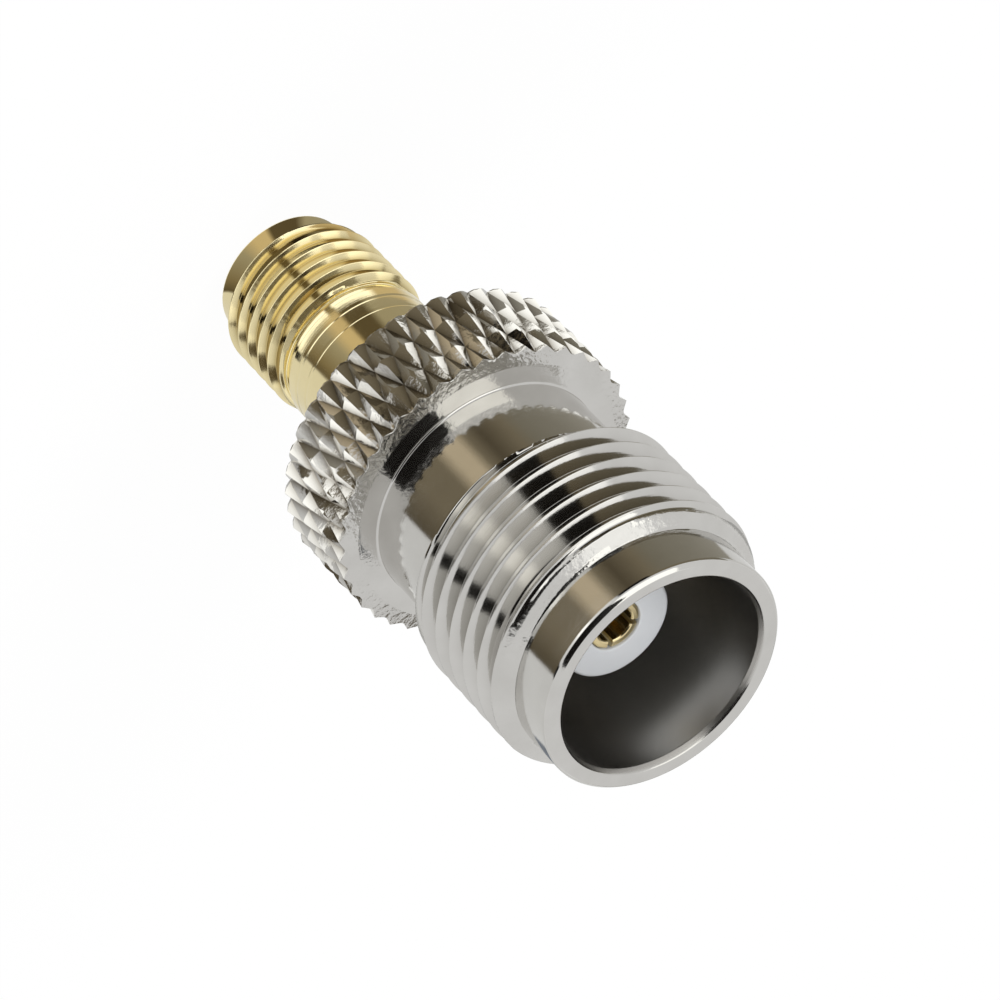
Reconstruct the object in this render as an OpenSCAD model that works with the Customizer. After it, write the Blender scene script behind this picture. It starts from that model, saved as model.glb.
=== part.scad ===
// Coaxial adapter between a large and a small threaded jack, with a knurled collar between them.
// All sizes are in millimetres. The axis is Z: the part stands on the open end of the small jack,
// at Z = 0, and the mouth of the large jack is at the top.
// Each thread is a plain cylinder of its major diameter.

/* [Small jack barrel] */
// Length from the open end to the collar
barrel_len = 10.5; // [9:0.1:16]
// Diameter of the plain lead at the open end
lead_d = 5.3; // [5.1:0.05:5.9]
// Length of the plain lead
lead_len = 0.95; // [0.4:0.05:1.4]
// Diameter over the small thread
small_thread_d = 6.32; // [6.25:0.01:7]
// Length of the threaded stretch, with the chamfer at its start
small_thread_len = 4; // [2:0.1:5]
// Length of the chamfer that starts the small thread
small_thread_chamfer = 0.3; // [0.1:0.05:0.6]
// Width of the run-out groove behind the small thread
groove_w = 0.45; // [0.2:0.05:0.8]
// Diameter at the bottom of the run-out groove
groove_d = 5.6; // [5.4:0.05:5.9]
// Diameter of the plain neck behind the groove
barrel_neck_d = 5.95; // [5.8:0.05:6.6]
// Diameter of the bore that takes the small plug
small_bore_d = 4.6; // [4.4:0.05:4.9]
// Depth of the bore that takes the small plug
small_bore_depth = 1.93; // [1:0.01:3]
// Length of the spigot that is pressed into the collar
spigot_len = 2.1; // [1.5:0.1:3]

/* [Knurled collar] */
// Diameter over the knurl
collar_d = 12.2; // [11.6:0.1:14]
// Length of the collar
collar_len = 4.2; // [3.4:0.1:7]
// Depth of the bevel at the front of the collar
front_bevel_depth = 0.45; // [0.2:0.05:0.6]
// Length of the bevel at the front of the collar
front_bevel_len = 0.6; // [0.3:0.05:0.9]
// Chamfer at the rear of the collar
rear_chamfer = 0.1; // [0.05:0.05:0.5]
// Number of knurl teeth around the collar
knurl_count = 42; // [30:1:60]
// Number of half teeth along the collar
knurl_rows = 3; // [2:1:5]
// Depth of the knurl's grooves
knurl_depth = 0.3; // [0.1:0.02:0.4]
// Height turned off the sharp tips of the knurl's teeth
knurl_tip_cut = 0.08; // [0.02:0.01:0.15]
// Diameter of the seat in the collar for the barrel's spigot
seat_d = 6.8; // [6.7:0.05:7.4]

/* [Large jack] */
// Diameter of the neck between the collar and the large thread
neck_d = 9.2; // [8.8:0.05:10]
// Length of that neck
neck_len = 3.6; // [2.5:0.1:6]
// Fillet between the collar and the neck
neck_fillet = 0.45; // [0.1:0.05:0.6]
// Diameter over the large thread
large_thread_d = 11.05; // [10.6:0.05:11.5]
// Length of the threaded stretch, with its chamfers
large_thread_len = 5.4; // [4:0.1:8]
// Length of the chamfer at the rear of the large thread
thread_rear_chamfer = 0.3; // [0.1:0.05:0.5]
// Length of the chamfer at the front of the large thread
thread_front_chamfer = 0.65; // [0.3:0.05:1]
// Diameter of the smooth nose
nose_d = 9.63; // [9.3:0.01:10]
// Length of the smooth nose
nose_len = 2; // [1:0.1:3]
// Rounding of the nose's outer rim
rim_round = 0.2; // [0.05:0.05:0.25]
// Diameter of the bore that takes the large plug
large_bore_d = 8.13; // [8:0.01:8.4]
// Depth of that bore
large_bore_depth = 8.4; // [6:0.1:9]
// Size of the lead-in chamfer at the mouth of that bore
lead_in = 0.13; // [0.05:0.01:0.2]
// Thickness of the web that the large insulator bears on
web_thickness = 1.8; // [1:0.1:2.5]

/* [Insulators] */
// Diameter of the large insulator's nose
large_nose_d = 4.38; // [4:0.02:4.8]
// Depth of that nose's face below the mouth of the large jack
large_nose_recess = 3.05; // [2:0.05:4]
// Diameter of the small insulator where it shows
small_stem_d = 4.1; // [3.6:0.05:4.2]
// Diameter of the small insulator's head, inside the barrel
small_head_d = 4.7; // [4.5:0.05:5]
// Length of the small insulator's head
small_head_len = 4; // [2.5:0.1:6]

/* [Centre contact] */
// Outside diameter of the large socket
large_socket_d = 2; // [1.7:0.05:2.4]
// Bore of the large socket
large_pin_bore_d = 1.36; // [1.2:0.02:1.5]
// Depth of the large socket's bore
large_pin_depth = 4.5; // [3:0.1:6]
// Outside diameter of the small socket
small_socket_d = 1.27; // [1.1:0.01:1.5]
// Bore of the small socket
small_pin_bore_d = 0.93; // [0.8:0.01:1]
// Depth of the small socket's bore
small_pin_depth = 3.2; // [2:0.1:5]
// Width of the slots in the large socket
large_slot_w = 0.2; // [0.1:0.01:0.24]
// Width of the slots in the small socket
small_slot_w = 0.14; // [0.08:0.01:0.16]
// Length of the slots, as a share of the depth of their bore
slot_share = 0.85; // [0.5:0.05:0.95]
// How far the sockets lie below the insulators' faces
socket_recess = 0.05; // [0.02:0.01:0.2]
// Diameter of the flange that the insulators clamp
flange_d = 3; // [2.6:0.1:3.4]
// Thickness of that flange
flange_thickness = 0.6; // [0.3:0.05:1]

/* [Fits] */
// Radial clearance of the barrel's spigot in the collar
press_clearance = 0.01; // [0.005:0.005:0.02]
// Radial clearance of the insulators on metal
slip_clearance = 0.02; // [0.01:0.01:0.05]

/* [Hidden] */

// Round faces are drawn with this many sides
$fn = 96;
// Cuts run past the faces that they open by this much
overcut = 1;
// Height of a drill's point over its radius
drill_point = 0.6;
// Wall of the sleeve that the knurl is cut to, deeper than its grooves
sleeve_wall = 2 * knurl_depth;

// Heights along the axis
thread_end_z = lead_len + small_thread_len;
neck_start_z = thread_end_z + groove_w;
collar_rear_z = barrel_len;
collar_front_z = collar_rear_z + collar_len;
large_thread_rear_z = collar_front_z + neck_len;
large_thread_front_z = large_thread_rear_z + large_thread_len;
mouth_z = large_thread_front_z + nose_len;
bore_floor_z = mouth_z - large_bore_depth;
web_rear_z = bore_floor_z - web_thickness;
clamp_z = collar_rear_z + spigot_len;
small_head_z = clamp_z - small_head_len;
large_face_z = mouth_z - large_nose_recess;
large_socket_z = large_face_z - socket_recess;
small_socket_z = small_bore_depth + socket_recess;

// What is left of a square corner outside a circle: it fills an inside corner or rounds an outside one
module corner(radius) {
    difference() {
        square(radius);
        translate([radius, radius]) circle(radius);
    }
}

// Blind hole with a drill's point, from the origin down the axis
module drilled_hole(diameter, depth) {
    translate([0, 0, -depth]) cylinder(d = diameter, h = depth + overcut);
    translate([0, 0, -depth - drill_point * diameter / 2])
        cylinder(d1 = 0, d2 = diameter, h = drill_point * diameter / 2);
}

// Bore and crossed slots of a spring socket that opens upwards at the origin
module spring_socket_cut(outside_d, bore_d, depth, slot_w) {
    drilled_hole(bore_d, depth);
    for (turn = [0, 90])
        rotate(turn)
            translate([-outside_d, -slot_w / 2, -depth * slot_share])
                cube([2 * outside_d, slot_w, depth * slot_share + overcut]);
}

module large_jack_section() {
    difference() {
        union() {
            polygon([
                [seat_d / 2, collar_rear_z],
                [collar_d / 2 - rear_chamfer, collar_rear_z],
                [collar_d / 2, collar_rear_z + rear_chamfer],
                [collar_d / 2, collar_front_z - front_bevel_len],
                [collar_d / 2 - front_bevel_depth, collar_front_z],
                [neck_d / 2, collar_front_z],
                [neck_d / 2, large_thread_rear_z],
                [large_thread_d / 2 - thread_rear_chamfer, large_thread_rear_z],
                [large_thread_d / 2, large_thread_rear_z + thread_rear_chamfer],
                [large_thread_d / 2, large_thread_front_z - thread_front_chamfer],
                [nose_d / 2, large_thread_front_z],
                [nose_d / 2, mouth_z],
                [large_bore_d / 2 + lead_in, mouth_z],
                [large_bore_d / 2, mouth_z - lead_in],
                [large_bore_d / 2, bore_floor_z],
                [large_nose_d / 2 + slip_clearance, bore_floor_z],
                [large_nose_d / 2 + slip_clearance, web_rear_z],
                [seat_d / 2, web_rear_z]
            ]);
            translate([neck_d / 2, collar_front_z]) corner(neck_fillet);
        }
        translate([nose_d / 2, mouth_z]) rotate(180) corner(rim_round);
    }
}

// Sleeve of sharp pyramid teeth, as long as the collar. Its outer points alternate between the crossings
// of the grooves and the tips of the teeth, and each cell between four points is folded along its groove.
module knurl_sleeve() {
    columns = 2 * knurl_count;
    function is_crossing(row, column) = (row + column) % 2 == 0;
    function place(row, column) = row * columns + column % columns;
    function ring_point(radius, row, column) = [
        radius * cos(column * 360 / columns),
        radius * sin(column * 360 / columns),
        collar_rear_z + row * collar_len / knurl_rows
    ];
    points = [
        for (row = [0 : knurl_rows], column = [0 : columns - 1])
            ring_point(collar_d / 2 + (is_crossing(row, column) ? -knurl_depth : knurl_tip_cut), row, column),
        for (row = [knurl_rows, 0], column = [0 : columns - 1])
            ring_point(collar_d / 2 - sleeve_wall, row, column)
    ];
    // The last two rings of points are the inner wall, so the cells go round the sleeve's section
    last_row = knurl_rows + 2;
    cells = [
        for (row = [0 : last_row], column = [0 : columns - 1])
            let (
                next_row = (row + 1) % (last_row + 1),
                a = place(row, column),
                b = place(row, column + 1),
                c = place(next_row, column + 1),
                d = place(next_row, column)
            )
            each is_crossing(row, column) ? [[c, b, a], [d, c, a]] : [[d, b, a], [d, c, b]]
    ];
    polyhedron(points, cells);
}

// What the knurling tool takes off the turned collar
module knurl_waste() {
    difference() {
        translate([0, 0, collar_rear_z - overcut]) cylinder(d = collar_d + 2 * overcut, h = collar_len + overcut);
        translate([0, 0, collar_rear_z - 2 * overcut])
            cylinder(r = collar_d / 2 - (sleeve_wall + knurl_depth) / 2, h = collar_len + 4 * overcut);
        knurl_sleeve();
    }
}

module large_jack_body() {
    color("silver") difference() {
        rotate_extrude() large_jack_section();
        knurl_waste();
    }
}

module small_jack_barrel() {
    color("goldenrod") rotate_extrude() polygon([
        [small_bore_d / 2, 0],
        [lead_d / 2, 0],
        [lead_d / 2, lead_len],
        [small_thread_d / 2, lead_len + small_thread_chamfer],
        [small_thread_d / 2, thread_end_z],
        [groove_d / 2, thread_end_z],
        [groove_d / 2, neck_start_z],
        [barrel_neck_d / 2, neck_start_z],
        [barrel_neck_d / 2, collar_rear_z],
        [seat_d / 2 - press_clearance, collar_rear_z],
        [seat_d / 2 - press_clearance, clamp_z],
        [small_head_d / 2 + slip_clearance, clamp_z],
        [small_head_d / 2 + slip_clearance, small_head_z],
        [small_stem_d / 2 + slip_clearance, small_head_z],
        [small_stem_d / 2 + slip_clearance, small_bore_depth],
        [small_bore_d / 2, small_bore_depth]
    ]);
}

module large_insulator() {
    color("white") rotate_extrude() polygon([
        [flange_d / 2 + slip_clearance, clamp_z],
        [seat_d / 2 - slip_clearance, clamp_z],
        [seat_d / 2 - slip_clearance, web_rear_z],
        [large_nose_d / 2, web_rear_z],
        [large_nose_d / 2, large_face_z],
        [large_socket_d / 2 + slip_clearance, large_face_z],
        [large_socket_d / 2 + slip_clearance, clamp_z + flange_thickness],
        [flange_d / 2 + slip_clearance, clamp_z + flange_thickness]
    ]);
}

module small_insulator() {
    color("white") rotate_extrude() polygon([
        [small_socket_d / 2 + slip_clearance, small_bore_depth],
        [small_stem_d / 2, small_bore_depth],
        [small_stem_d / 2, small_head_z],
        [small_head_d / 2, small_head_z],
        [small_head_d / 2, clamp_z],
        [small_socket_d / 2 + slip_clearance, clamp_z]
    ]);
}

module centre_contact() {
    color("gold") difference() {
        rotate_extrude() polygon([
            [0, small_socket_z],
            [small_socket_d / 2, small_socket_z],
            [small_socket_d / 2, clamp_z],
            [flange_d / 2, clamp_z],
            [flange_d / 2, clamp_z + flange_thickness],
            [large_socket_d / 2, clamp_z + flange_thickness],
            [large_socket_d / 2, large_socket_z],
            [0, large_socket_z]
        ]);
        translate([0, 0, large_socket_z])
            spring_socket_cut(large_socket_d, large_pin_bore_d, large_pin_depth, large_slot_w);
        translate([0, 0, small_socket_z]) rotate([180, 0, 0])
            spring_socket_cut(small_socket_d, small_pin_bore_d, small_pin_depth, small_slot_w);
    }
}

large_jack_body();
small_jack_barrel();
large_insulator();
small_insulator();
centre_contact();
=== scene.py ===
# %% [markdown]
# A coaxial adapter, dressed for its portrait
#
# The adapter joins two radio-frequency plugs of different sizes. It is made of five pieces: a nickel-plated
# body with a knurled collar and a large thread, a gold-plated barrel with a small thread, two white
# insulators, and a gold centre contact with a slotted socket at each end.
#
# The solids of these pieces come from the frame, at their true size and place. They are plain where a lathe
# would have cut a thread, and their edges are simple. This lesson turns each piece again with its thread, its
# knurl and its broken edges, and gives it the finish of plated metal or of white fluoropolymer. Where the
# photograph shows a face or an edge a little away from the solid's, the lesson follows the photograph.

# %% Load the frame
import math

import bmesh
import bpy
import numpy as np
from mathutils import Matrix, Vector


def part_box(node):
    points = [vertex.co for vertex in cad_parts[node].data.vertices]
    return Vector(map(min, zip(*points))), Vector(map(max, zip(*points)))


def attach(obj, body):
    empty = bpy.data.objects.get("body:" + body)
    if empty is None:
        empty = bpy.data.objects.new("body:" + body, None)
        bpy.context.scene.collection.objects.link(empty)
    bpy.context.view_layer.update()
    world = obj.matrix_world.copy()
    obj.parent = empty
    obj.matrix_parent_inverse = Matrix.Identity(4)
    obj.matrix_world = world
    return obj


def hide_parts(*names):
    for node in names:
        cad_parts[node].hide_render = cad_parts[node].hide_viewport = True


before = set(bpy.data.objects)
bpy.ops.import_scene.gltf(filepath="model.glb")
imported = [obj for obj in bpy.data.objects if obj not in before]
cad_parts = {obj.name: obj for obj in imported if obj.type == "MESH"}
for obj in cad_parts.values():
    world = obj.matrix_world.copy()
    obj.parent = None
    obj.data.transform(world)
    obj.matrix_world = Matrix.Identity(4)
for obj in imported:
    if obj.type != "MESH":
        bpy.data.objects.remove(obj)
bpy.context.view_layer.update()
MM = 0.001
print("nodes:", sorted(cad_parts))

# %% [markdown]
# The camera
#
# The photograph was taken with a long lens, from the side of the large jack's mouth. A least-squares fit of
# the circles on the object gave the distance, the focal length and the way that the axis points. The axis of
# the object is Z here, so the camera is turned about its own line of sight instead of the object.

# %% Camera from the fitted view
IMAGE_SIZE = 1000
FOCAL_PIXELS = 6460.8
AXIS_POINT_HEIGHT = 12.5 * MM
AXIS_POINT_DISTANCE = 230.65 * MM
AXIS_POINT_PIXEL = (461.8, 463.7)
AXIS_TURN = math.radians(46.49)
AXIS_TILT = math.radians(50.42)
SENSOR_WIDTH = 36.0


def fitted_camera():
    """The camera's matrix in the frame. Camera axes here are right, down and forward."""
    axis = Vector((
        math.sin(AXIS_TILT) * math.cos(AXIS_TURN),
        math.sin(AXIS_TILT) * math.sin(AXIS_TURN),
        -math.cos(AXIS_TILT),
    ))
    to_camera = Vector((0, 0, -1))
    near_side = (to_camera - axis * to_camera.dot(axis)).normalized()
    y_axis = -near_side
    x_axis = y_axis.cross(axis)
    to_frame = Matrix((x_axis, y_axis, axis))
    sight = [(p - IMAGE_SIZE / 2) / FOCAL_PIXELS for p in AXIS_POINT_PIXEL]
    axis_point = Vector((sight[0], sight[1], 1)) * AXIS_POINT_DISTANCE
    place = Vector((0, 0, AXIS_POINT_HEIGHT)) - to_frame @ axis_point
    turn = to_frame @ Matrix(((1, 0, 0), (0, -1, 0), (0, 0, -1)))
    return Matrix.Translation(place) @ turn.to_4x4()


camera_data = bpy.data.cameras.new("camera")
camera_data.sensor_width = SENSOR_WIDTH
camera_data.lens = FOCAL_PIXELS / IMAGE_SIZE * SENSOR_WIDTH
camera_data.clip_start = 0.01
camera = bpy.data.objects.new("camera", camera_data)
camera.matrix_world = fitted_camera()
bpy.context.scene.collection.objects.link(camera)
bpy.context.scene.camera = camera
print("camera at, in mm:", [round(c / MM, 1) for c in camera.location], "lens", round(camera_data.lens, 1))

# %% [markdown]
# Formulas in node trees
#
# Threads, knurls, lathe rings and floor cards all follow rules about the axis. Each rule is a formula of the
# radius, the turn about the axis and the height. Such a formula could be laid out node by node, but that is long
# to read, so these helpers write it as Math nodes. They work in geometry trees and in shader groups alike.


# %% Helpers for formulas
def join(tree, source, socket):
    """Sets a socket from another socket or from a plain value."""
    if isinstance(source, bpy.types.NodeSocket):
        tree.links.new(source, socket)
    else:
        socket.default_value = source


def formula(tree, operation, *operands):
    """The result of one Math node."""
    node = tree.nodes.new("ShaderNodeMath")
    node.operation = operation
    for operand, socket in zip(operands, node.inputs):
        join(tree, operand, socket)
    return node.outputs[0]


def polar(tree, vector):
    """Radius, turn and height of a position, with the turn counted from -0.5 to 0.5."""
    parts = tree.nodes.new("ShaderNodeSeparateXYZ")
    tree.links.new(vector, parts.inputs[0])
    x, y, z = parts.outputs
    squares = formula(tree, "ADD", formula(tree, "MULTIPLY", x, x), formula(tree, "MULTIPLY", y, y))
    turn = formula(tree, "DIVIDE", formula(tree, "ARCTAN2", y, x), 2 * math.pi)
    return formula(tree, "SQRT", squares), turn, z


# %% [markdown]
# Effects that several finishes share
#
# The lathe leaves fine rings on every turned face. They depend on the radius and the height alone, so a noise
# that is read at those two numbers runs round the axis by itself. Plating adds a faint mottle that has no
# direction: slow clouds, small specks and, where a tool chattered or a roller pressed, a coarser grain. Every
# finish here uses both effects, so each is a shader group that is built once and placed with its own values.

# %% Shader groups
SLOW_SHARE = 0.12
MOTTLE_DETAIL = {"Clouds": 3, "Specks": 1, "Grain": 2}


def new_group(name, inputs, outputs):
    """A shader node group with named numbers in and out."""
    group = bpy.data.node_groups.new(name, "ShaderNodeTree")
    for title in inputs:
        group.interface.new_socket(title, in_out="INPUT", socket_type="NodeSocketFloat")
    for title in outputs:
        group.interface.new_socket(title, in_out="OUTPUT", socket_type="NodeSocketFloat")
    return group, group.nodes.new("NodeGroupInput").outputs, group.nodes.new("NodeGroupOutput").inputs


def noise(tree, vector, scale, detail):
    """The value of a noise texture."""
    node = tree.nodes.new("ShaderNodeTexNoise")
    tree.links.new(vector, node.inputs["Vector"])
    join(tree, scale, node.inputs["Scale"])
    node.inputs["Detail"].default_value = detail
    return node.outputs["Fac"]


def between_values(tree, amount, low, high, start=0.0, end=1.0):
    """A number that goes from low to high as amount goes from start to end."""
    node = tree.nodes.new("ShaderNodeMapRange")
    join(tree, amount, node.inputs["Value"])
    for title, value in (("From Min", start), ("From Max", end), ("To Min", low), ("To Max", high)):
        node.inputs[title].default_value = value
    return node.outputs[0]


def object_place(tree):
    """Object coordinates."""
    return tree.nodes.new("ShaderNodeTexCoord").outputs["Object"]


def turning_group():
    """Rings of the lathe tool: a height for bump and a slow change from ring to ring."""
    group, given, out = new_group("turning_rings", ["Rings per metre"], ["Height", "Drift"])
    radius, _, height = polar(group, object_place(group))
    across = group.nodes.new("ShaderNodeCombineXYZ")
    group.links.new(radius, across.inputs[0])
    group.links.new(height, across.inputs[1])
    group.links.new(noise(group, across.outputs[0], given["Rings per metre"], 2), out["Height"])
    slow = formula(group, "MULTIPLY", given["Rings per metre"], SLOW_SHARE)
    group.links.new(noise(group, across.outputs[0], slow, 1), out["Drift"])
    return group


def mottle_group():
    """Cloudy change in the plating, small specks, and the grain of a chattering tool or a knurl roller."""
    rates = [title + " per metre" for title in MOTTLE_DETAIL]
    group, given, out = new_group("plating_mottle", rates, MOTTLE_DETAIL)
    place = object_place(group)
    for title, detail in MOTTLE_DETAIL.items():
        group.links.new(noise(group, place, given[title + " per metre"], detail), out[title])
    return group


turning_rings = turning_group()
plating_mottle = mottle_group()
print("shader groups:", [group.name for group in (turning_rings, plating_mottle)])

# %% [markdown]
# The finishes
#
# Plated metal is a metallic surface with a low roughness. Its colour is the colour of its reflections. Bump from
# the turning rings breaks the reflections into fine lines along the axis, and the mottle makes their sharpness
# vary. The colour is darkened by the recess that the cutting trees store, as painted shade in the grooves of
# threads and knurl, and in the bore it is darkened too, as painted shade.
#
# Two more numbers are stored on the points of a piece. "rolled" is 1 on the knurl, whose roller squeezes the metal
# instead of cutting it. "chatter" is 1 on the bevels, where the tool shook and left a rough, glittering face. One
# recipe with these numbers serves the nickel and both golds, so that they differ only in what they are given.

# %% Metal finishes
RINGS_PER_METRE, CLOUDS_PER_METRE, SPECKS_PER_METRE, GRAIN_PER_METRE = 16000, 700, 9000, 4500
# The second and third numbers are painted shade: how much more the knurl's grooves are darkened, and how dark the
# bore is painted.
CLOUD_TINT, ROLLED_RECESS_SHADE, BORE_SHADE = 0.25, 0.5, 0.42
CHATTER_DULLNESS, BORE_DULLNESS = 0.08, 0.2
CHATTER_BUMP, ROLLED_BUMP, BUMP_UNIT = 20.0, 7.0, 0.001 * MM
BORE_EDGE_IN, BORE_EDGE_OUT = 0.02 * MM, 0.05 * MM


def grouped(tree, group, **values):
    """Places a shader group in a material, with its inputs set by name."""
    node = tree.nodes.new("ShaderNodeGroup")
    node.node_tree = group
    for title, value in values.items():
        node.inputs[title.replace("_", " ")].default_value = value
    return node.outputs


def blend(tree, amount, first, second):
    """A colour that goes from the first to the second."""
    node = tree.nodes.new("ShaderNodeMix")
    node.data_type = "RGBA"
    join(tree, amount, node.inputs["Factor"])
    for colour, socket in ((first, node.inputs[6]), (second, node.inputs[7])):
        join(tree, colour if isinstance(colour, bpy.types.NodeSocket) else (*colour, 1.0), socket)
    return node.outputs[2]


def number_of(tree, name):
    """A number that was stored on the points of the piece, or 0."""
    node = tree.nodes.new("ShaderNodeAttribute")
    node.attribute_name = name
    return node.outputs["Fac"]


def plated(name, colour, mottle_and_shade_colour, roughness, ring_bump, speck_bump, recess_shade=0.3, bore_radius=0.0):
    """A plated metal. roughness is a pair, of the sharpest and the dullest place. A bore is painted dark, as
    painted shade, and dull.
    """
    material = bpy.data.materials.new(name)
    material.use_nodes = True
    tree = material.node_tree
    shader = tree.nodes["Principled BSDF"]
    rings = grouped(tree, turning_rings, Rings_per_metre=RINGS_PER_METRE)
    mottle = grouped(tree, plating_mottle, Clouds_per_metre=CLOUDS_PER_METRE, Specks_per_metre=SPECKS_PER_METRE,
                     Grain_per_metre=GRAIN_PER_METRE)
    chatter = number_of(tree, "chatter")
    rolled = number_of(tree, "rolled")
    radius, _, _ = polar(tree, object_place(tree))
    bore = between_values(tree, radius, 1.0, 0.0, bore_radius - BORE_EDGE_IN, bore_radius + BORE_EDGE_OUT)

    # Painted shade: the colour goes darker with the depth of the recess in threads and knurl, more on the knurl,
    # and darker in the bore.
    painted_shade = formula(tree, "POWER", number_of(tree, "recess"), 2.0)
    painted_shade = formula(tree, "MULTIPLY", painted_shade, formula(tree, "MULTIPLY_ADD", rolled, ROLLED_RECESS_SHADE, recess_shade))
    painted_shade = formula(tree, "MAXIMUM", painted_shade, formula(tree, "MULTIPLY", bore, BORE_SHADE))
    clouded = blend(tree, formula(tree, "MULTIPLY", mottle["Clouds"], CLOUD_TINT), colour, mottle_and_shade_colour)
    tree.links.new(blend(tree, painted_shade, clouded, mottle_and_shade_colour), shader.inputs["Base Color"])
    shader.inputs["Metallic"].default_value = 1.0

    uneven = formula(tree, "MULTIPLY_ADD", rings["Drift"], 0.5, formula(tree, "MULTIPLY", mottle["Clouds"], 0.5))
    dull = formula(tree, "MULTIPLY_ADD", chatter, CHATTER_DULLNESS, formula(tree, "MULTIPLY", bore, BORE_DULLNESS))
    rough = formula(tree, "ADD", between_values(tree, uneven, *roughness), dull)
    tree.links.new(rough, shader.inputs["Roughness"])

    fine = formula(tree, "MULTIPLY_ADD", rings["Height"], ring_bump,
                   formula(tree, "MULTIPLY", mottle["Specks"], speck_bump))
    coarse = formula(tree, "MULTIPLY_ADD", chatter, CHATTER_BUMP, formula(tree, "MULTIPLY", rolled, ROLLED_BUMP))
    bump = tree.nodes.new("ShaderNodeBump")
    bump.inputs["Strength"].default_value = 1.0
    bump.inputs["Distance"].default_value = BUMP_UNIT
    tree.links.new(formula(tree, "MULTIPLY_ADD", coarse, mottle["Grain"], fine), bump.inputs["Height"])
    tree.links.new(bump.outputs[0], shader.inputs["Normal"])
    return material


# The second colour of each metal is the dark tone of its mottle and of its painted shade in recesses.
bright_nickel = plated("bright_nickel", (0.70, 0.69, 0.665), (0.22, 0.20, 0.17), roughness=(0.04, 0.16),
                       ring_bump=1.0, speck_bump=0.8, bore_radius=4.15 * MM)
pale_gold = plated("pale_gold", (0.97, 0.85, 0.51), (0.40, 0.30, 0.11), roughness=(0.06, 0.18),
                   ring_bump=1.0, speck_bump=0.6, recess_shade=0.85)
contact_gold = plated("contact_gold", (0.86, 0.72, 0.42), (0.50, 0.37, 0.15), roughness=(0.14, 0.28),
                      ring_bump=0.8, speck_bump=0.6)
print("metals:", [m.name for m in (bright_nickel, pale_gold, contact_gold)])

# %% [markdown]
# The insulators are white fluoropolymer, which is waxy: light enters it and comes out again nearby. A plain white
# would look like paint, so the shader lets some light scatter below the surface. The rings and the clouds are those
# of the metals, with fewer of them to the metre, because the soft rod is turned with a coarser feed.

# %% Fluoropolymer
SOFT_RINGS_PER_METRE, SOFT_CLOUDS_PER_METRE = 9000, 500
SCATTER_SHARE, SCATTER_DEPTH = 0.25, 0.3 * MM


def fluoropolymer(name, colour, shade):
    """White, waxy and slightly translucent, with faint rings from turning."""
    material = bpy.data.materials.new(name)
    material.use_nodes = True
    tree = material.node_tree
    shader = tree.nodes["Principled BSDF"]
    rings = grouped(tree, turning_rings, Rings_per_metre=SOFT_RINGS_PER_METRE)
    mottle = grouped(tree, plating_mottle, Clouds_per_metre=SOFT_CLOUDS_PER_METRE)
    tree.links.new(blend(tree, mottle["Clouds"], colour, shade), shader.inputs["Base Color"])
    tree.links.new(between_values(tree, rings["Drift"], 0.32, 0.5), shader.inputs["Roughness"])
    shader.inputs["Subsurface Weight"].default_value = SCATTER_SHARE
    shader.inputs["Subsurface Radius"].default_value = (1.0, 1.0, 1.0)
    shader.inputs["Subsurface Scale"].default_value = SCATTER_DEPTH
    bump = tree.nodes.new("ShaderNodeBump")
    bump.inputs["Distance"].default_value = 2 * BUMP_UNIT
    tree.links.new(rings["Height"], bump.inputs["Height"])
    tree.links.new(bump.outputs[0], shader.inputs["Normal"])
    return material


# The insulators' white is given darker than the rod's own white: painted shade for the bores they sit in. The
# mottle goes from it to the second, darker tone.
white_insulator = fluoropolymer("white_insulator", (0.72, 0.73, 0.75), (0.60, 0.62, 0.64))
print("insulator:", white_insulator.name)

# %% [markdown]
# Turning a piece
#
# Every piece of the adapter came off a lathe, so one helper turns them all. It takes sections of an outline,
# each a stack of rings, and joins ring to ring. A section may be helical: its rings then climb by one pitch in
# a turn, so that the edges of the mesh lie along the crests and roots of the thread that is cut later. The
# corners of an outline are broken by small arcs, as a deburred and plated edge is.

# %% Outlines and rings
COLUMNS = 336
ARC_STEPS = 3
SUPPORT = 0.03
SNAP = 0.003
MERGE = 0.0002 * MM


def broken(points, radii, steps=ARC_STEPS):
    """The outline with an arc of each radius in place of its corner. A radius of 0 keeps the corner."""
    outline = []
    for i, (corner, radius) in enumerate(zip(points, radii)):
        if not radius:
            outline.append(corner)
            continue
        here = np.array(corner, float)
        before = np.array(points[i - 1], float) - here
        after = np.array(points[(i + 1) % len(points)], float) - here
        before /= np.linalg.norm(before)
        after /= np.linalg.norm(after)
        half = math.acos(np.clip(before @ after, -1, 1)) / 2
        centre = here + (before + after) / np.linalg.norm(before + after) * radius / math.sin(half)
        start = here + before * radius / math.tan(half) - centre
        end = here + after * radius / math.tan(half) - centre
        sweep = math.pi - 2 * half
        for step in range(steps + 1):
            share = step / steps * sweep
            arc = (math.sin(sweep - share) * start + math.sin(share) * end) / math.sin(sweep)
            outline.append(tuple(centre + arc))
    return outline


def supported(outline):
    """The outline with a point near both ends of each long stretch, so that its shading stays flat."""
    points = [outline[0]]
    for start, end in zip(outline, outline[1:]):
        start, end = np.array(start, float), np.array(end, float)
        length = np.linalg.norm(end - start)
        if length > 5 * SUPPORT:
            near = (end - start) / length * SUPPORT
            points += [tuple(start + near), tuple(end - near)]
        points.append(tuple(end))
    return points


def plain_section(outline, columns=COLUMNS):
    """Rings of an outline of (radius, height) pairs in mm."""
    angles = np.arange(columns) * 2 * math.pi / columns
    rings = np.array([[(r * math.cos(a), r * math.sin(a), z) for a in angles] for r, z in outline])
    return {"rings": rings, "climb": 0}


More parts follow.
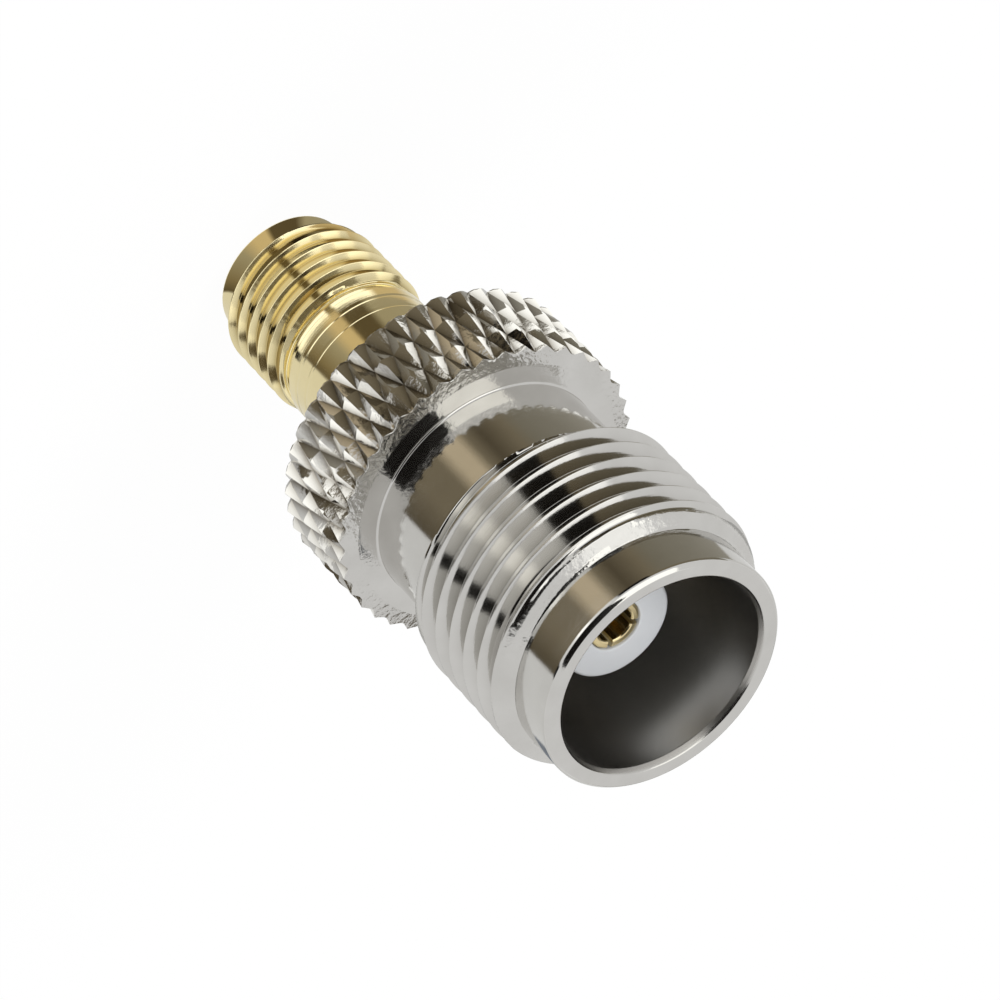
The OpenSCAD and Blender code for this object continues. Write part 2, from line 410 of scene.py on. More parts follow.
def helical_section(outline, pitch, shares, columns=COLUMNS):
    """Rings at shares of a pitch, which climb by one pitch in a turn and stop at the ends of a rising outline."""
    radii, heights = zip(*outline)
    windings = math.ceil((heights[-1] - heights[0]) / pitch) + 3
    steps = np.array([winding + share for winding in range(windings) for share in shares])
    turns = np.arange(columns) / columns
    z = heights[0] + (steps[:, None] + turns[None, :] - 2) * pitch
    z = np.where(z < heights[0] + SNAP, heights[0], np.where(z > heights[-1] - SNAP, heights[-1], z))
    r = np.interp(z, heights, radii)
    angle = turns[None, :] * 2 * math.pi
    return {"rings": np.stack([r * np.cos(angle), r * np.sin(angle), z], axis=-1), "climb": len(shares)}


def turned_mesh(name, sections):
    """Joins the rings of the sections into one mesh in metres. A section's fold picks the diagonal of a cell."""
    points, faces = [], []
    for section in sections:
        rings, climb = section["rings"], section["climb"]
        count, columns = rings.shape[:2]
        base = len(points)
        points.extend(rings.reshape(-1, 3) * MM)

        def at(ring, column):
            if column == columns:
                ring, column = min(ring + climb, count - 1), 0
            return base + ring * columns + column

        for ring in range(count - 1):
            for column in range(columns):
                a, b = at(ring, column), at(ring, column + 1)
                d, c = at(ring + 1, column), at(ring + 1, column + 1)
                way = section["fold"](ring, column) if "fold" in section else None
                if way is None:
                    faces.append((a, b, c, d))
                elif way:
                    faces.extend([(a, b, c), (a, c, d)])
                else:
                    faces.extend([(a, b, d), (b, c, d)])
    mesh = bpy.data.meshes.new(name)
    mesh.from_pydata([tuple(p) for p in points], [], faces)
    tidy = bmesh.new()
    tidy.from_mesh(mesh)
    bmesh.ops.remove_doubles(tidy, verts=tidy.verts, dist=MERGE)
    bmesh.ops.dissolve_degenerate(tidy, edges=tidy.edges, dist=MERGE)
    tidy.to_mesh(mesh)
    tidy.free()
    mesh.polygons.foreach_set("use_smooth", [True] * len(mesh.polygons))
    piece = bpy.data.objects.new(name, mesh)
    bpy.context.scene.collection.objects.link(piece)
    return piece


def report(piece):
    """Prints what a finished piece measures and whether its mesh is closed."""
    check = bmesh.new()
    check.from_mesh(piece.data)
    open_edges = sum(1 for edge in check.edges if not edge.is_manifold)
    triangles = sum(len(face.verts) - 2 for face in check.faces)
    check.free()
    print(piece.name, "triangles", triangles, "open edges", open_edges,
          "size mm", [round(side / MM, 2) for side in piece.dimensions])


# %% [markdown]
# Node trees that cut
#
# A thread and a knurl both follow a rule around the axis, so Geometry Nodes cut them. Each tree reads where a
# point of the turned blank lies, works out the radius that the tool leaves there, and moves the point inwards
# if the blank is larger. It also stores how deep the tool went, as the attribute "recess", which the finish
# uses later. Every tree ends by realizing its instances and setting the finish of the piece.

# %% Helpers for cutting trees
def new_tree(name, inputs):
    """A geometry node tree with a mesh in and out, the named numbers and a finish, and its inputs."""
    tree = bpy.data.node_groups.new(name, "GeometryNodeTree")
    tree.interface.new_socket("Geometry", in_out="INPUT", socket_type="NodeSocketGeometry")
    for title in inputs:
        tree.interface.new_socket(title, in_out="INPUT", socket_type="NodeSocketFloat")
    tree.interface.new_socket("Finish", in_out="INPUT", socket_type="NodeSocketMaterial")
    tree.interface.new_socket("Geometry", in_out="OUTPUT", socket_type="NodeSocketGeometry")
    return tree, tree.nodes.new("NodeGroupInput").outputs


def store_number(tree, geometry, name, value, inside):
    """Keeps a number with the points of a stretch, as an attribute that the finish can read."""
    store = tree.nodes.new("GeometryNodeStoreNamedAttribute")
    store.data_type = "FLOAT"
    store.domain = "POINT"
    store.inputs["Name"].default_value = name
    tree.links.new(geometry, store.inputs["Geometry"])
    tree.links.new(inside, store.inputs["Selection"])
    join(tree, value, store.inputs["Value"])
    return store.outputs[0]


def cut_to_radius(tree, geometry, limit, full_depth, inside):
    """Moves points inside a stretch of the axis inwards to the limit. The recess is 1 at the full depth."""
    position = tree.nodes.new("GeometryNodeInputPosition").outputs[0]
    radius, _, _ = polar(tree, position)
    kept = formula(tree, "MINIMUM", radius, limit)
    left = formula(tree, "DIVIDE", kept, radius)
    recess = formula(tree, "DIVIDE", formula(tree, "SUBTRACT", radius, kept), full_depth)
    stretch = tree.nodes.new("ShaderNodeCombineXYZ")
    for socket, share in zip(stretch.inputs, (left, left, 1.0)):
        join(tree, share, socket)
    scaled = tree.nodes.new("ShaderNodeVectorMath")
    scaled.operation = "MULTIPLY"
    tree.links.new(position, scaled.inputs[0])
    tree.links.new(stretch.outputs[0], scaled.inputs[1])
    move = tree.nodes.new("GeometryNodeSetPosition")
    tree.links.new(store_number(tree, geometry, "recess", recess, inside), move.inputs["Geometry"])
    tree.links.new(inside, move.inputs["Selection"])
    tree.links.new(scaled.outputs[0], move.inputs["Position"])
    return move.outputs[0]


def between(tree, value, low, high):
    """1 where low < value < high."""
    return formula(tree, "MULTIPLY", formula(tree, "GREATER_THAN", value, low),
                   formula(tree, "LESS_THAN", value, high))


def end_tree(tree, geometry, finish):
    """Ends a tree in Realize Instances, Set Material and the group output."""
    realize = tree.nodes.new("GeometryNodeRealizeInstances")
    dress = tree.nodes.new("GeometryNodeSetMaterial")
    tree.links.new(geometry, realize.inputs[0])
    tree.links.new(realize.outputs[0], dress.inputs["Geometry"])
    tree.links.new(finish, dress.inputs["Material"])
    tree.links.new(dress.outputs[0], tree.nodes.new("NodeGroupOutput").inputs[0])


def run_tree(piece, tree, values):
    """Runs a tree on a piece with values by input name, and keeps the result as the piece's plain mesh."""
    modifier = piece.modifiers.new(tree.name, "NODES")
    modifier.node_group = tree
    for item in tree.interface.items_tree:
        if item.in_out == "INPUT" and item.name in values:
            modifier[item.identifier] = values[item.name]
    depsgraph = bpy.context.evaluated_depsgraph_get()
    evaluated = piece.evaluated_get(depsgraph)
    mesh = bpy.data.meshes.new_from_object(evaluated, preserve_all_data_layers=True, depsgraph=depsgraph)
    piece.modifiers.clear()
    blank = piece.data
    piece.data = mesh
    mesh.name = piece.name
    bpy.data.meshes.remove(blank)


# %% [markdown]
# The thread
#
# A thread could be swept along a spiral, but its ends would then have to be joined to the turned piece. Cutting it
# into the blank keeps one closed skin. The depth depends on how far a point lies from the nearest crest, counted
# along the axis in shares of a pitch: nothing on the crest, then a straight flank, then a flat root. Towards its
# end the cut gets shallower, as where the tool leaves the work.

# %% The thread tree
CREST_HALF = 0.02
EVEN_RINGS = 8
EDGE_RINGS = (-0.016, -0.006, 0.006, 0.016)


def thread_tree():
    """A right-hand thread with straight flanks, narrow crests and flat roots, which runs out before its end."""
    tree, given = new_tree("cut_thread", [
        "Major radius", "Pitch", "Depth", "Flank rise", "Start", "End", "Run out", "Lag",
    ])
    position = tree.nodes.new("GeometryNodeInputPosition").outputs[0]
    _, turn, height = polar(tree, position)
    climbed = formula(tree, "DIVIDE", formula(tree, "SUBTRACT", height, given["Start"]), given["Pitch"])
    along = formula(tree, "ADD", formula(tree, "SUBTRACT", climbed, turn), given["Lag"])
    from_crest = formula(tree, "ABSOLUTE", formula(tree, "SUBTRACT", formula(tree, "FRACT", along), 0.5))
    down_flank = formula(tree, "MULTIPLY", formula(tree, "SUBTRACT", from_crest, CREST_HALF), given["Flank rise"])
    sloped = formula(tree, "MULTIPLY", down_flank, given["Pitch"])
    to_end = formula(tree, "DIVIDE", formula(tree, "SUBTRACT", given["End"], height), given["Run out"])
    deepest = formula(tree, "MULTIPLY", given["Depth"], formula(tree, "MINIMUM", to_end, 1.0))
    depth = formula(tree, "MINIMUM", formula(tree, "MAXIMUM", sloped, 0.0), deepest)
    limit = formula(tree, "SUBTRACT", given["Major radius"], depth)
    inside = between(tree, height, given["Start"], given["End"])
    end_tree(tree, cut_to_radius(tree, given["Geometry"], limit, given["Depth"], inside), given["Finish"])
    return tree


def thread_shares(pitch, depth, rise, lag):
    """Shares of the pitch for a thread's rings: even ones, and close ones at each edge of crest and root."""
    root = CREST_HALF + depth / rise / pitch
    edges = [0.5 - root, 0.5 - CREST_HALF, 0.5 + CREST_HALF, 0.5 + root]
    even = [k / EVEN_RINGS for k in range(EVEN_RINGS)]
    apart = [share for share in even if all(abs(share - edge) > 2 * EDGE_RINGS[-1] for edge in edges)]
    close = [edge + offset for edge in edges for offset in EDGE_RINGS]
    return sorted((share - lag) % 1 for share in apart + close)


cut_thread = thread_tree()
print("thread tree nodes:", len(cut_thread.nodes))

# %% [markdown]
# The knurl
#
# A diamond knurl is pressed by two rollers with slanted teeth. What they leave is two families of V grooves that
# cross, with a pyramid in each mesh of the net. The tree works out the depth of both families and keeps the deeper
# one. A roller never tracks perfectly, so each groove is a little deeper or shallower, by a number that is drawn
# once for that groove.

# %% The knurl tree
FLANK_SHARE = 0.44


def knurl_tree():
    """Two families of V grooves that lean against each other, each groove a little deeper or shallower."""
    tree, given = new_tree("cut_knurl", ["Radius", "Teeth", "Half tooth", "Rear", "Front", "Depth", "Unevenness"])
    position = tree.nodes.new("GeometryNodeInputPosition").outputs[0]
    _, turn, height = polar(tree, position)
    around = formula(tree, "MULTIPLY", turn, given["Teeth"])
    doubled = formula(tree, "MULTIPLY", given["Half tooth"], 2.0)
    along = formula(tree, "DIVIDE", formula(tree, "SUBTRACT", height, given["Rear"]), doubled)
    depths = []
    for seed, lean in enumerate(("SUBTRACT", "ADD")):
        shifted = formula(tree, "ADD", formula(tree, lean, around, along), 0.5)
        from_groove = formula(tree, "ABSOLUTE", formula(tree, "SUBTRACT", formula(tree, "FRACT", shifted), 0.5))
        number = formula(tree, "FLOORED_MODULO", formula(tree, "FLOOR", shifted), given["Teeth"])
        chance = tree.nodes.new("FunctionNodeRandomValue")
        chance.data_type = "FLOAT"
        join(tree, formula(tree, "MULTIPLY", given["Unevenness"], -1.0), chance.inputs[2])
        join(tree, given["Unevenness"], chance.inputs[3])
        join(tree, number, chance.inputs["ID"])
        chance.inputs["Seed"].default_value = seed + 1
        deepest = formula(tree, "MULTIPLY", given["Depth"], formula(tree, "ADD", chance.outputs[1], 1.0))
        fade = formula(tree, "SUBTRACT", 1.0, formula(tree, "DIVIDE", from_groove, FLANK_SHARE))
        depths.append(formula(tree, "MULTIPLY", deepest, formula(tree, "MAXIMUM", fade, 0.0)))
    depth = formula(tree, "MAXIMUM", *depths)
    limit = formula(tree, "SUBTRACT", given["Radius"], depth)
    inside = between(tree, height, formula(tree, "SUBTRACT", given["Rear"], MERGE),
                     formula(tree, "ADD", given["Front"], MERGE))
    marked = store_number(tree, given["Geometry"], "rolled", 1.0, inside)
    end_tree(tree, cut_to_radius(tree, marked, limit, given["Depth"], inside), given["Finish"])
    return tree


cut_knurl = knurl_tree()
print("knurl tree nodes:", len(cut_knurl.nodes))

# %% [markdown]
# The large jack's body
#
# One turned piece of nickel-plated brass: a knurled collar, a plain neck, a thread of 28 turns to the inch, a
# smooth nose and the bore for the plug. Its heights start from the box of its solid, and all sizes are in mm. The
# collar's front is a shallow cone that the teeth run out on, and the thread ends just behind the chamfer that leads
# down to the nose.

# %% Sizes of the large jack's body
INCH = 25.4
body_low, body_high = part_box("large_jack_body")
collar_overhang, collar_length, neck_length, nose_length = 0.2, 4.0, 3.6, 2.0
mouth = body_high.z / MM
collar_rear = body_low.z / MM - collar_overhang
collar_front = collar_rear + collar_length
thread_rear = collar_front + neck_length
thread_front = mouth - nose_length
collar_radius, neck_radius, nose_radius, bore_radius = 6.1, 4.6, 4.815, 4.065
bevel_depth, bevel_length, rear_chamfer = 0.78, 0.16, 0.1
neck_fillet, neck_corner = 0.1, 0.15
large_major, large_pitch, large_depth, large_lag = 5.525, INCH / 28, 0.54, 0.445
large_rise, large_run_out, chamfer_gap = math.tan(math.radians(61.5)), 0.8, 0.12
large_thread_end = thread_front - chamfer_gap
rear_run_in, front_run_in = 0.3, 0.35
rim_depth, rim_length, rim_fall, lead_in = 0.15, 0.14, 0.02, 0.13
bore_depth, web_thickness = 8.4, 1.8
bore_floor = mouth - bore_depth
web_rear = bore_floor - web_thickness
web_hole, seat_radius = 2.21, 3.4
TEETH, HALF_TEETH_LONG, KNURL_DEPTH, KNURL_UNEVENNESS = 42, 3, 0.24, 0.15
half_tooth = (collar_front - collar_rear) / HALF_TEETH_LONG
CELLS_PER_HALF_TOOTH = COLUMNS // (2 * TEETH)
for title, low, high in (("collar", collar_rear, collar_front), ("thread", thread_rear, thread_front)):
    print(title, "from", round(low, 2), "to", round(high, 2), "mm")

# %% [markdown]
# The collar's rings are laid so that the grooves of the knurl run along the diagonals of the cells, and each cell
# is folded along that diagonal. So the teeth get crisp planes from few faces. A grid that ignores the grooves would
# need many times as many faces, and its teeth would still look worn.

# %% Rings of the collar
CHAMFER_RINGS, BEVEL_RINGS = 3, 11


def collar_section():
    """Rings of the collar's blank, closer together in its chamfers, folded along the knurl's grooves."""
    even = half_tooth / CELLS_PER_HALF_TOOTH
    heights = list(collar_rear + even * np.arange(HALF_TEETH_LONG * CELLS_PER_HALF_TOOTH + 1))
    heights += list(np.linspace(collar_rear, collar_rear + rear_chamfer, CHAMFER_RINGS))
    heights += list(np.linspace(collar_front - bevel_length, collar_front, BEVEL_RINGS))
    heights = sorted(set(np.round(heights, 4)))
    radii = np.interp(
        heights,
        [collar_rear, collar_rear + rear_chamfer, collar_front - bevel_length, collar_front],
        [collar_radius - rear_chamfer, collar_radius, collar_radius, collar_radius - bevel_depth],
    )
    section = plain_section(list(zip(radii, heights)))

    def fold(ring, column):
        middle = (heights[ring] + heights[ring + 1]) / 2
        return (column // CELLS_PER_HALF_TOOTH + int((middle - collar_rear) / half_tooth)) % 2 == 0

    section["fold"] = fold
    return section


collar_blank = collar_section()
print("rings of the collar:", len(collar_blank["rings"]))

# %% Turn the body, knurl it and cut its thread
neck_outline = broken(
    [(collar_radius - bevel_depth, collar_front), (neck_radius, collar_front),
     (neck_radius, thread_rear), (large_major - rear_run_in, thread_rear)],
    [0, neck_fillet, neck_corner, 0], steps=5,
)
thread_outline = [(large_major - rear_run_in, thread_rear), (large_major, thread_rear + rear_run_in),
                  (large_major, thread_front - front_run_in), (nose_radius, thread_front)]
inner_outline = broken(
    [(nose_radius, thread_front), (nose_radius, mouth - rim_length), (nose_radius - rim_depth, mouth),
     (bore_radius + lead_in, mouth - rim_fall),
     (bore_radius, mouth - 2 * lead_in), (bore_radius, bore_floor), (web_hole, bore_floor), (web_hole, web_rear),
     (seat_radius, web_rear), (seat_radius, collar_rear), (collar_radius - rear_chamfer, collar_rear)],
    [0, 0.2, 0.04, 0.05, 0.08, 0.15, 0.1, 0, 0, 0.05, 0],
)
large_shares = thread_shares(large_pitch, large_depth, large_rise, large_lag)
large_jack = turned_mesh("large_jack", [
    collar_blank,
    plain_section(supported(neck_outline)),
    helical_section(thread_outline, large_pitch, large_shares),
    plain_section(supported(inner_outline)),
])
run_tree(large_jack, cut_knurl, {
    "Radius": collar_radius * MM, "Teeth": float(TEETH), "Half tooth": half_tooth * MM, "Rear": collar_rear * MM,
    "Front": collar_front * MM, "Depth": KNURL_DEPTH * MM, "Unevenness": KNURL_UNEVENNESS,
    "Finish": bright_nickel,
})
run_tree(large_jack, cut_thread, {
    "Major radius": large_major * MM, "Pitch": large_pitch * MM, "Depth": large_depth * MM,
    "Start": thread_rear * MM - MERGE, "End": large_thread_end * MM, "Lag": large_lag,
    "Flank rise": large_rise, "Run out": large_run_out * MM,
    "Finish": bright_nickel,
})
report(large_jack)

# %% [markdown]
# The two bevels of the body are cut with a broad tool, which shakes. The finish roughens the points where
# "chatter" is 1, so this cell stores it on the collar's bevel and on the chamfer in front of the thread.


# %% Mark the chattered bevels
def mark(piece, name, *stretches):
    """Stores 1 on the points of some stretches of the axis, in mm, as an attribute that the finish can read."""
    heights = [point.co.z / MM for point in piece.data.vertices]
    values = [float(any(low - SNAP < z < high + SNAP for low, high in stretches)) for z in heights]
    piece.data.attributes.new(name, "FLOAT", "POINT").data.foreach_set("value", values)
    return int(sum(values))


chattered = mark(large_jack, "chatter", (collar_front - bevel_length, collar_front - 2 * SNAP),
                 (thread_front - front_run_in, thread_front))
print("chattered points:", chattered)

# %% [markdown]
# The small jack's barrel
#
# A turned barrel of gold-plated brass with a thread of 36 turns to the inch. It starts with a plain lead, and a
# run-out groove parts the thread from the neck, which has two fine turned lines. Its spigot is pressed into the
# collar and can't be seen. The thread tree is the one that cut the body, with this thread's sizes.

# %% Sizes of the barrel
barrel_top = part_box("small_jack_barrel")[1]
clamp_height = barrel_top.z / MM
lead_radius, lead_end = 2.65, 0.95
small_major, small_pitch, small_depth, small_lag = 3.16, INCH / 36, 0.27, -0.19
small_rise, small_run_out = math.tan(math.radians(60)), 0.05
small_thread_end, groove_radius, neck_start = 4.95, 2.8, 5.4
small_front_run_in, small_rear_run_in, small_rear_fall = 0.3, 0.15, 0.25
barrel_neck, spigot_play, head_length = 2.975, 0.01, 4.0
spigot_radius = seat_radius - spigot_play
small_bore, small_bore_floor = 2.3, 1.93
stem_bore, head_bore, head_height = 2.07, 2.37, clamp_height - head_length
SMALL_COLUMNS, LINE_DEPTH, LINE_HEIGHTS = 320, 0.035, (5.95, 6.6)
print("barrel up to", round(clamp_height, 2), "mm, thread from", lead_end, "to", small_thread_end, "mm")

# %% Turn the barrel and cut its thread
half_bore = (small_bore, small_bore_floor / 2)
lead_outline = broken([half_bore, (small_bore, 0), (lead_radius, 0), (lead_radius, lead_end)], [0, 0.08, 0.1, 0])
small_thread_outline = [(lead_radius, lead_end), (small_major, lead_end + small_front_run_in),
                        (small_major, small_thread_end - small_rear_run_in),
                        (small_major - small_rear_fall, small_thread_end)]
turned_lines = [
    (barrel_neck - (LINE_DEPTH if step == 1 else 0), height + (step - 1) * LINE_DEPTH * 2)
    for height in LINE_HEIGHTS for step in range(3)
]
barrel_outline = broken(
    [small_thread_outline[-1], (groove_radius, small_thread_end), (groove_radius, neck_start),
     (barrel_neck, neck_start), *turned_lines, (barrel_neck, collar_rear), (spigot_radius, collar_rear),
     (spigot_radius, clamp_height), (head_bore, clamp_height), (head_bore, head_height), (stem_bore, head_height),
     (stem_bore, small_bore_floor), (small_bore, small_bore_floor), half_bore],
    [0, 0.05, 0.05, 0.05, *[0] * len(turned_lines), 0, 0.03, 0.05, 0, 0, 0, 0, 0.05, 0],
)
small_shares = thread_shares(small_pitch, small_depth, small_rise, small_lag)
small_jack = turned_mesh("small_jack", [
    plain_section(supported(lead_outline), SMALL_COLUMNS),
    helical_section(small_thread_outline, small_pitch, small_shares, SMALL_COLUMNS),
    plain_section(supported(barrel_outline), SMALL_COLUMNS),
])
run_tree(small_jack, cut_thread, {
    "Major radius": small_major * MM, "Pitch": small_pitch * MM, "Depth": small_depth * MM,
    "Start": lead_end * MM - MERGE, "End": small_thread_end * MM + MERGE, "Lag": small_lag,
    "Flank rise": small_rise, "Run out": small_run_out * MM,
    "Finish": pale_gold,
})
report(small_jack)

# %% [markdown]
# The insulators
#
# Both are turned from white fluoropolymer rod. Only the nose of the large one shows, in the middle of the bore,
# and the end of the small one, at the floor of its bore. The soft material has rounded edges.

# %% Turn the insulators
INSULATOR_COLUMNS = 192
large_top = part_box("large_insulator")[1]
flange_outer, large_face = large_top.x / MM, large_top.z / MM
nose_outer, large_hole, flange_hole, flange_thickness = 2.19, 1.02, 1.52, 0.6
flange_top = clamp_height + flange_thickness
large_insulator_outline = broken(
    [(flange_hole, clamp_height), (flange_outer, clamp_height), (flange_outer, web_rear), (nose_outer, web_rear),
     (nose_outer, large_face), (large_hole, large_face), (large_hole, flange_top), (flange_hole, flange_top)],
    [0, 0.05, 0.05, 0, 0.12, 0.06, 0, 0],
)
head_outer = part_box("small_insulator")[1].x / MM
stem_outer, small_hole = 2.05, 0.655
small_insulator_outline = broken(
    [(small_hole, small_bore_floor), (stem_outer, small_bore_floor), (stem_outer, head_height),
     (head_outer, head_height), (head_outer, clamp_height), (small_hole, clamp_height)],
    [0.05, 0.06, 0, 0.05, 0.05, 0],
)


def bead(name, outline):
    """A turned insulator. Its outline ends where it starts."""
    closed = outline + outline[:1]
    return turned_mesh(name, [plain_section(supported(closed), INSULATOR_COLUMNS)])


large_bead = bead("large_bead", large_insulator_outline)
small_bead = bead("small_bead", small_insulator_outline)
report(large_bead)
report(small_bead)

# %% [markdown]
# The centre contact
#
# One gold-plated pin with a spring socket at each end. A drill makes the sockets, and two crossed saw cuts slit
# each of them into four fingers. The cuts repeat around the axis, so a node tree places the saw blade by
# instances and takes the blades away from the pin.

# %% Turn the contact
CONTACT_COLUMNS = 96
contact_low, contact_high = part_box("centre_contact")
contact_bottom, contact_top = contact_low.z / MM, contact_high.z / MM
flange_radius = contact_high.x / MM
large_tube, large_pin = 1.0, 0.68
small_tube, small_pin = 0.635, 0.465
large_socket_depth, small_socket_depth = 4.5, 3.2
large_pin_floor, small_pin_floor = contact_top - large_socket_depth, contact_bottom + small_socket_depth
DRILL_POINT = 0.6
contact_outline = broken(
    [(0, small_pin_floor + DRILL_POINT * small_pin), (small_pin, small_pin_floor), (small_pin, contact_bottom),
     (small_tube, contact_bottom), (small_tube, clamp_height), (flange_radius, clamp_height),
     (flange_radius, flange_top), (large_tube, flange_top), (large_tube, contact_top), (large_pin, contact_top),
     (large_pin, large_pin_floor), (0, large_pin_floor - DRILL_POINT * large_pin)],
    [0, 0, 0.05, 0.05, 0, 0.03, 0.03, 0, 0.09, 0.09, 0, 0],
)
contact = turned_mesh("contact", [plain_section(supported(contact_outline), CONTACT_COLUMNS)])
print("sockets drilled to", round(large_pin_floor, 2), "and", round(small_pin_floor, 2), "mm")


# %% Saw the slots
def slot_tree():
    """Saw blades through the axis, spread evenly over half a turn, taken away from the piece."""
    tree, given = new_tree("saw_slots", ["Blades", "First angle", "Width", "Length", "Reach", "Middle"])
    blade = tree.nodes.new("GeometryNodeMeshCube")
    size = tree.nodes.new("ShaderNodeCombineXYZ")
    for title, socket in zip(("Reach", "Width", "Length"), size.inputs):
        tree.links.new(given[title], socket)
    tree.links.new(size.outputs[0], blade.inputs["Size"])
    places = tree.nodes.new("GeometryNodeMeshLine")
    places.inputs["Offset"].default_value = (0, 0, 0)
    tree.links.new(given["Blades"], places.inputs["Count"])
    start = tree.nodes.new("ShaderNodeCombineXYZ")
    tree.links.new(given["Middle"], start.inputs[2])
    tree.links.new(start.outputs[0], places.inputs["Start Location"])
    number = tree.nodes.new("GeometryNodeInputIndex").outputs[0]
    turn = tree.nodes.new("ShaderNodeCombineXYZ")
    step = formula(tree, "DIVIDE", math.pi, given["Blades"])
    turned = formula(tree, "ADD", formula(tree, "MULTIPLY", number, step), given["First angle"])
    tree.links.new(turned, turn.inputs[2])
    spread = tree.nodes.new("GeometryNodeInstanceOnPoints")
    tree.links.new(places.outputs[0], spread.inputs["Points"])
    tree.links.new(blade.outputs["Mesh"], spread.inputs["Instance"])
    tree.links.new(turn.outputs[0], spread.inputs["Rotation"])
    blades = tree.nodes.new("GeometryNodeRealizeInstances")
    tree.links.new(spread.outputs[0], blades.inputs[0])
    sawn = tree.nodes.new("GeometryNodeMeshBoolean")
    sawn.operation = "DIFFERENCE"
    sawn.solver = "EXACT"
    sawn.inputs["Self Intersection"].default_value = True
    tree.links.new(given["Geometry"], sawn.inputs[0])
    tree.links.new(blades.outputs[0], sawn.inputs[1])
    end_tree(tree, sawn.outputs[0], given["Finish"])
    return tree


saw_slots = slot_tree()
SLOT_SHARE, OVERCUT = 0.85, 1.0
LARGE_SLOT, SMALL_SLOT = 0.2, 0.14
for socket_mouth, socket_floor, width in (
    (contact_top, large_pin_floor, LARGE_SLOT), (contact_bottom, small_pin_floor, SMALL_SLOT),
):
    way = 1 if socket_mouth > socket_floor else -1
    slot_floor = socket_mouth + (socket_floor - socket_mouth) * SLOT_SHARE
    slot_end = socket_mouth + way * OVERCUT
    run_tree(contact, saw_slots, {
        "Blades": 2.0, "First angle": math.pi / 4, "Width": width * MM, "Reach": 4 * large_tube * MM,
        "Length": abs(slot_end - slot_floor) * MM, "Middle": (slot_floor + slot_end) / 2 * MM,
        "Finish": contact_gold,
    })
report(contact)

# %% [markdown]
# Shading of edges
#
# A smooth normal rounds an edge to the eye, and a split one keeps it crisp. The knurl's teeth and the contact's
# slots are crisp, so their edges are split by angle. Elsewhere the broken corners carry the light.

# %% Crisp teeth and slots
CRISP_ANGLE = math.radians(12)
REAR_MARGIN, FRONT_MARGIN = 0.01, 0.02


def keep_crisp(piece, low, high):
    """Splits the normals at the steep edges of a stretch of the axis, in mm."""
    mesh = bmesh.new()
    mesh.from_mesh(piece.data)
    count = 0
    for edge in mesh.edges:
        inside = all(low * MM <= vertex.co.z <= high * MM for vertex in edge.verts)
        if inside and edge.is_manifold and edge.calc_face_angle(0) > CRISP_ANGLE:
            edge.smooth = False
            count += 1
    mesh.to_mesh(piece.data)
    mesh.free()
    return count


crisp_collar = keep_crisp(large_jack, collar_rear + REAR_MARGIN, collar_front - FRONT_MARGIN)
crisp_contact = keep_crisp(contact, contact_bottom, contact_top)
print("crisp edges on the collar:", crisp_collar, "and on the contact:", crisp_contact)

# %% [markdown]
# Dressing the frame
#
# Each turned piece takes the place of its solid. Nothing moves on this adapter, so every piece rides on the one
# body of the frame.

# %% Pieces, finishes and the solids that they replace
for piece, material, node, slot in (
    (large_jack, bright_nickel, "large_jack_body", "nickel_plate"),
    (small_jack, pale_gold, "small_jack_barrel", "gold_plate"),
    (large_bead, white_insulator, "large_insulator", "insulator"),
    (small_bead, white_insulator, "small_insulator", "insulator"),
    (contact, contact_gold, "centre_contact", "contact"),
):
    piece.data.materials.clear()
    piece.data.materials.append(material)
    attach(piece, "root")
    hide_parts(node)

# %% [markdown]
# The stage
#
# Polished metal shows its surroundings, so the stage is part of the look. The floor is white. Around the adapter
# stand cards as in a studio: they are hidden from the camera, and only reflections see them. A picture of a studio
# could light it too, but cards can be moved one by one until each reflection falls where the photograph has it.

# %% Floor
FLOOR_SIZE, FLOOR_WHITE_SHARE = 2.0, 0.95
FLOOR_TONE, FLOOR_ROUGHNESS = (0.9, 0.9, 0.9, 1.0), 0.9


def sight_of(tree):
    """1 for rays from the camera, from a glossy reflection or through glass."""
    path = tree.nodes.new("ShaderNodeLightPath").outputs
    return formula(tree, "MAXIMUM", path["Is Camera Ray"],
                   formula(tree, "MAXIMUM", path["Is Glossy Ray"], path["Is Transmission Ray"]))


def white_floor(name, share):
    """A matt white floor. A share of what is seen of it is plain white, and the rest keeps the shadow."""
    material = bpy.data.materials.new(name)
    material.use_nodes = True
    tree = material.node_tree
    matt = tree.nodes["Principled BSDF"]
    matt.inputs["Base Color"].default_value = FLOOR_TONE
    matt.inputs["Roughness"].default_value = FLOOR_ROUGHNESS
    glow = tree.nodes.new("ShaderNodeEmission")
    mix = tree.nodes.new("ShaderNodeMixShader")
    tree.links.new(formula(tree, "MULTIPLY", sight_of(tree), share), mix.inputs[0])
    tree.links.new(matt.outputs[0], mix.inputs[1])
    tree.links.new(glow.outputs[0], mix.inputs[2])
    tree.links.new(mix.outputs[0], tree.nodes["Material Output"].inputs[0])
    return material


def staged(name, mesh, material, hidden=True):
    """An object of the stage. A hidden one is seen by reflections alone."""
    mesh.materials.append(material)
    card = bpy.data.objects.new(name, mesh)
    bpy.context.scene.collection.objects.link(card)
    if hidden:
        card.visible_camera = False
        card.visible_diffuse = False
        card.visible_shadow = False
    return card


def flat_mesh(name, width, length):
    """A rectangle that faces up."""
    mesh = bpy.data.meshes.new(name)
    x, y = width / 2, length / 2
    mesh.from_pydata([(-x, -y, 0), (x, -y, 0), (x, y, 0), (-x, y, 0)], [], [(0, 1, 2, 3)])
    return mesh


floor_white = white_floor("floor_white", FLOOR_WHITE_SHARE)
floor = staged("floor", flat_mesh("floor", FLOOR_SIZE, FLOOR_SIZE), floor_white, hidden=False)
print("floor in m:", [round(side, 2) for side in floor.dimensions])

